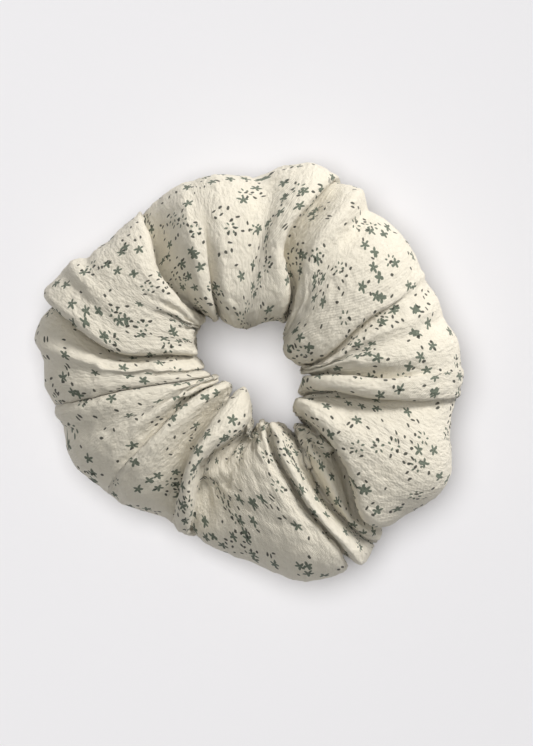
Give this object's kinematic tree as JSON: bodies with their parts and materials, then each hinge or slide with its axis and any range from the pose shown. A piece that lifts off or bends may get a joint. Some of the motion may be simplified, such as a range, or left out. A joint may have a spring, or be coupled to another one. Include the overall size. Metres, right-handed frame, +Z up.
{
  "type": "scrunchie",
  "caption": "Gathered fabric hair scrunchie: a puffed ring of small-sprig printed cotton sewn into a tube round a free loop of flat elastic, worn round a ponytail or bun.",
  "frame": {"origin": "middle of the hole that the hair goes through, on the surface that the scrunchie lies on", "axes": "+Z up, along the hole; +X across the ring; the end seam is on the -X side"},
  "size_m": [0.118, 0.118, 0.03],
  "materials": {
    "printed_cotton": "matte crinkled cotton with a small grey-green sprig print",
    "elastic": "woven, ribbed",
    "sewing_thread": "spun polyester"
  },
  "bodies": {
    "sleeve": {"fabric_sleeve": "printed_cotton", "long_seam_needle_thread": "sewing_thread", "long_seam_bobbin_thread": "sewing_thread", "end_seam_needle_thread": "sewing_thread", "end_seam_bobbin_thread": "sewing_thread", "closing_stitches": "sewing_thread"},
    "elastic_loop": {"elastic_band": "elastic", "elastic_join_needle_thread": "sewing_thread", "elastic_join_bobbin_thread": "sewing_thread"}
  },
  "joints": [
    {"name": "elastic_turn", "type": "hinge", "parent": "sleeve", "child": "elastic_loop", "pos_m": [0, 0, 0.015], "axis": [0, 0, 1], "continuous": true}
  ]
}
